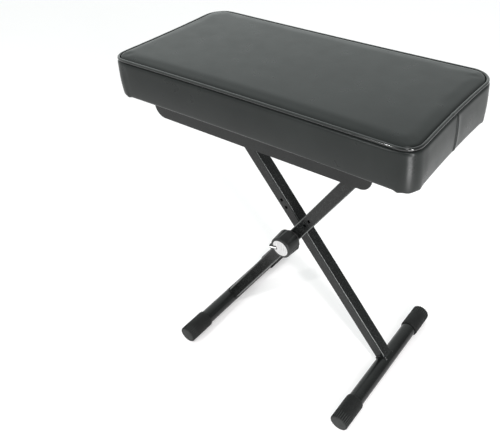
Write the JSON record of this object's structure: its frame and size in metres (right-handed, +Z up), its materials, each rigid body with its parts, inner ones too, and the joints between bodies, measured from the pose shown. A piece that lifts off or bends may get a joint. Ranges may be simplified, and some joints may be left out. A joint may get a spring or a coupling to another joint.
{
  "type": "keyboard bench",
  "caption": "Folding bench for a keyboard player: a padded, piped seat on two rails, carried by scissor legs with a clamp knob at the pivot and capped foot bars.",
  "frame": {"origin": "on the floor, under the middle of the seat and of the foot bars", "axes": "+X along the seat to the right seen from the knob side, +Y to the back, +Z up"},
  "size_m": [0.5712, 0.343, 0.6389],
  "materials": {
    "black_vinyl": "smooth semi-gloss vinyl",
    "piping_vinyl": "glossy vinyl cord",
    "foam": "open-cell foam",
    "plywood": "raw plywood",
    "dust_cloth": "black non-woven cloth",
    "black_steel": "satin black powder coat",
    "zinc_steel": "zinc plated",
    "black_bolts": "black oxide",
    "black_nylon": "moulded nylon",
    "friction_fibre": "pressed fibre",
    "black_rubber": "moulded rubber",
    "knob_plastic": "moulded satin plastic",
    "silver_face": "bare domed disc",
    "white_index": "plain pale inlay"
  },
  "bodies": {
    "leg_a": {"leg_a_tube": "black_steel", "weld_bead_a": "black_steel", "cross_tube_a": "black_steel", "cross_plugs_a": "zinc_steel", "hinge_bolts": "black_bolts", "hinge_washers": "zinc_steel", "foot_bar_a": "black_steel", "foot_caps_a": "black_rubber", "pivot_bolt": "black_bolts", "pivot_sleeve_a": "zinc_steel", "friction_disc": "friction_fibre"},
    "leg_b": {"leg_b_tube": "black_steel", "weld_bead_b": "black_steel", "cross_tube_b": "black_steel", "cross_plugs_b": "zinc_steel", "slide_bolts": "black_bolts", "slide_washers": "zinc_steel", "slide_bushes": "black_nylon", "foot_bar_b": "black_steel", "foot_caps_b": "black_rubber", "pivot_sleeve_b": "zinc_steel", "thrust_washer": "black_nylon"},
    "seat": {"seat_cover": "black_vinyl", "seat_piping": "piping_vinyl", "seat_foam": "foam", "seat_board": "plywood", "dust_cloth": "dust_cloth", "tee_nuts": "zinc_steel", "seat_washers": "zinc_steel", "seat_bolts": "black_bolts", "rail_front": "black_steel", "rail_rear": "black_steel", "hinge_bushes": "black_nylon"},
    "knob": {"knob_body": "knob_plastic", "knob_insert": "zinc_steel", "knob_face": "silver_face", "knob_index": "white_index"}
  },
  "joints": [
    {"name": "fold", "type": "hinge", "parent": "leg_a", "child": "leg_b", "pos_m": [-0.01, 0, 0.2865], "axis": [0, 1, 0], "range_deg": [-8, 90]},
    {"name": "seat_hinge", "type": "hinge", "parent": "leg_a", "child": "seat", "pos_m": [-0.20602, 0, 0.55197], "axis": [0, 1, 0], "range_deg": [-4, 45]},
    {"name": "knob_turn", "type": "hinge", "parent": "leg_a", "child": "knob", "pos_m": [-0.01, 0, 0.2865], "axis": [0, -1, 0], "range_deg": [0, 360]}
  ],
  "couplings": [
    {"joint": "seat_hinge", "follows": "fold", "ratio": 0.5}
  ]
}
